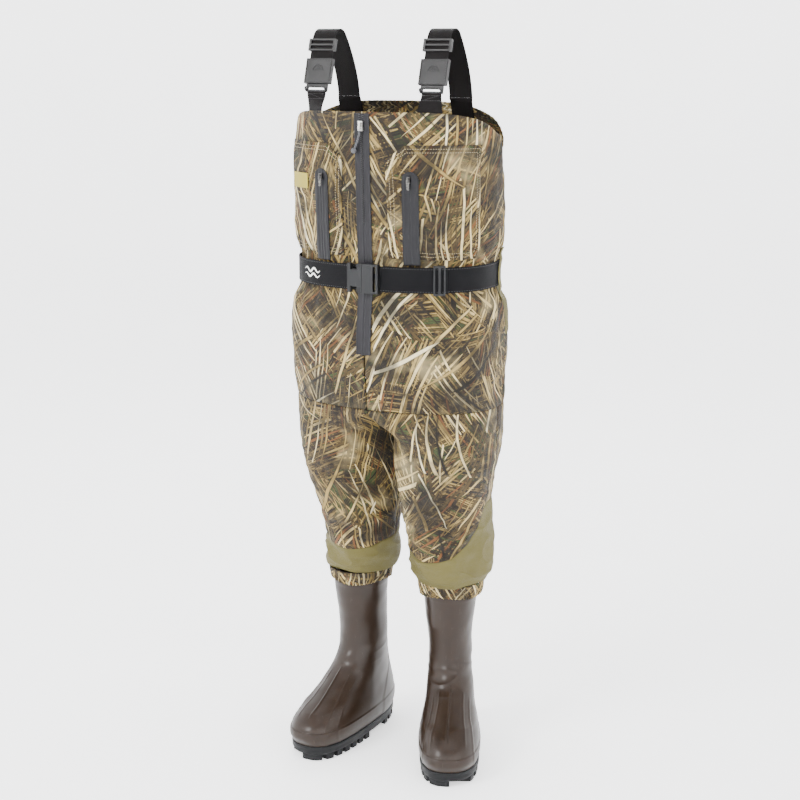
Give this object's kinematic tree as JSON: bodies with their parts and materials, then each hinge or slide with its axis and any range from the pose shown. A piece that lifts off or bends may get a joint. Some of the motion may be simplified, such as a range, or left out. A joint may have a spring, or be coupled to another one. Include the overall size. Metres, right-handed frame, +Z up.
{
  "type": "chest waders",
  "caption": "Boot-foot chest waders with a front zip, chest pockets, quick-release shoulder straps, a buckled waist belt and rubber boots.",
  "frame": {"origin": "on the ground under the centre of the bounding box", "axes": "+Z up, -Y the way the wearer faces, +X the wearer's left"},
  "size_m": [0.4294, 0.3144, 1.4279],
  "materials": {
    "camo_cloth": "woven nylon printed with a marsh reed pattern, matt",
    "olive_cloth": "plain woven nylon, matt",
    "webbing": "woven polypropylene webbing, slight sheen",
    "buckle": "moulded acetal, fine spark texture",
    "zip_tape": "coated waterproof zip tape, satin",
    "zip_metal": "plated zinc casting",
    "boot_rubber": "moulded brown rubber, glossy",
    "sole_rubber": "moulded black rubber, matt",
    "lining": "brushed insulation felt",
    "label_rubber": "small moulded yellow patch"
  },
  "bodies": {
    "root": {"back_elastic_hem": "camo_cloth", "back_panel": "camo_cloth", "back_yoke": "olive_cloth", "belt": "webbing", "belt_loop_left_back": "olive_cloth", "belt_loop_left_side": "olive_cloth", "belt_loop_right_back": "olive_cloth", "belt_loop_right_side": "olive_cloth", "belt_socket": "buckle", "front_panel_left": "camo_cloth", "front_panel_right": "camo_cloth", "front_zip_tape": "zip_tape", "label": "label_rubber", "left_boot_liner": "lining", "left_boot_upper": "boot_rubber", "left_hem_band": "camo_cloth", "left_insole": "lining", "left_leg_back": "camo_cloth", "left_leg_front": "camo_cloth", "left_lower_strap": "webbing", "left_outsole": "sole_rubber", "left_pocket_panel": "camo_cloth", "left_pocket_zip": "zip_tape", "left_shin": "olive_cloth", "left_strap_anchor": "webbing", "left_strap_tongue": "buckle", "right_boot_liner": "lining", "right_boot_upper": "boot_rubber", "right_hem_band": "camo_cloth", "right_insole": "lining", "right_leg_back": "camo_cloth", "right_leg_front": "camo_cloth", "right_lower_strap": "webbing", "right_outsole": "sole_rubber", "right_pocket_panel": "camo_cloth", "right_pocket_zip": "zip_tape", "right_shin": "olive_cloth", "right_strap_anchor": "webbing", "right_strap_tongue": "buckle", "seat_panel": "camo_cloth"},
    "front_zip_runner": {"front_zip_slider": "zip_metal"},
    "front_zip_tab": {"front_zip_pull": "zip_tape"},
    "left_pocket_runner": {"left_pocket_zip_slider": "zip_metal"},
    "left_pocket_tab": {"left_pocket_zip_pull": "zip_tape"},
    "right_pocket_runner": {"right_pocket_zip_slider": "zip_metal"},
    "right_pocket_tab": {"right_pocket_zip_pull": "zip_tape"},
    "left_shoulder": {"left_strap": "webbing", "left_strap_socket": "buckle"},
    "left_release": {"left_strap_button": "buckle"},
    "left_adjuster": {"left_strap_glide": "buckle"},
    "right_shoulder": {"right_strap": "webbing", "right_strap_socket": "buckle"},
    "right_release": {"right_strap_button": "buckle"},
    "right_adjuster": {"right_strap_glide": "buckle"},
    "belt_tongue": {"belt_frame": "buckle", "belt_front_layer": "webbing", "belt_adjuster": "buckle"},
    "belt_upper_arm": {"belt_latch_upper": "buckle"},
    "belt_lower_arm": {"belt_latch_lower": "buckle"}
  },
  "joints": [
    {"name": "front_zip", "type": "slide", "parent": "root", "child": "front_zip_runner", "axis": [0, 0.0439, -0.999], "range_m": [0, 0.17]},
    {"name": "front_zip_pull", "type": "hinge", "parent": "front_zip_runner", "child": "front_zip_tab", "pos_m": [0, -0.15409, 1.25871], "axis": [-1, 0, 0], "range_deg": [0, 140]},
    {"name": "left_pocket_zip", "type": "slide", "parent": "root", "child": "left_pocket_runner", "axis": [0, 0.0332, -0.9995], "range_m": [0, 0.11]},
    {"name": "left_pocket_pull", "type": "hinge", "parent": "left_pocket_runner", "child": "left_pocket_tab", "pos_m": [0.09, -0.14203, 1.16528], "axis": [-1, 0, 0], "range_deg": [0, 125]},
    {"name": "right_pocket_zip", "type": "slide", "parent": "root", "child": "right_pocket_runner", "axis": [0, 0.0332, -0.9995], "range_m": [0, 0.11]},
    {"name": "right_pocket_pull", "type": "hinge", "parent": "right_pocket_runner", "child": "right_pocket_tab", "pos_m": [-0.09, -0.14203, 1.16528], "axis": [-1, 0, 0], "range_deg": [0, 125]},
    {"name": "left_strap_release", "type": "hinge", "parent": "root", "child": "left_shoulder", "pos_m": [0.117, 0.02105, 1.306], "axis": [-1, 0, 0], "range_deg": [0, 105]},
    {"name": "left_button", "type": "slide", "parent": "left_shoulder", "child": "left_release", "axis": [0, 0.9563, -0.2924], "range_m": [0, 0.0013], "stiffness_N_per_m": 400},
    {"name": "left_glide", "type": "slide", "parent": "left_shoulder", "child": "left_adjuster", "axis": [0, 0.2924, 0.9563], "range_m": [-0.013, 0]},
    {"name": "right_strap_release", "type": "hinge", "parent": "root", "child": "right_shoulder", "pos_m": [-0.117, 0.02105, 1.306], "axis": [-1, 0, 0], "range_deg": [0, 105]},
    {"name": "right_button", "type": "slide", "parent": "right_shoulder", "child": "right_release", "axis": [0, 0.9563, -0.2924], "range_m": [0, 0.0013], "stiffness_N_per_m": 400},
    {"name": "right_glide", "type": "slide", "parent": "right_shoulder", "child": "right_adjuster", "axis": [0, 0.2924, 0.9563], "range_m": [-0.013, 0]},
    {"name": "belt_release", "type": "slide", "parent": "root", "child": "belt_tongue", "axis": [1, 0, 0], "range_m": [0, 0.034]},
    {"name": "belt_upper_latch", "type": "hinge", "parent": "belt_tongue", "child": "belt_upper_arm", "pos_m": [0.018, -0.14595, 0.9983], "axis": [0, -1, 0], "range_deg": [0, 7.5]},
    {"name": "belt_lower_latch", "type": "hinge", "parent": "belt_tongue", "child": "belt_lower_arm", "pos_m": [0.018, -0.14595, 0.9717], "axis": [0, 1, 0], "range_deg": [0, 7.5]}
  ],
  "couplings": [
    {"joint": "belt_upper_latch", "follows": "belt_release", "rad_per_m": 3.8},
    {"joint": "belt_lower_latch", "follows": "belt_release", "rad_per_m": 3.8}
  ]
}
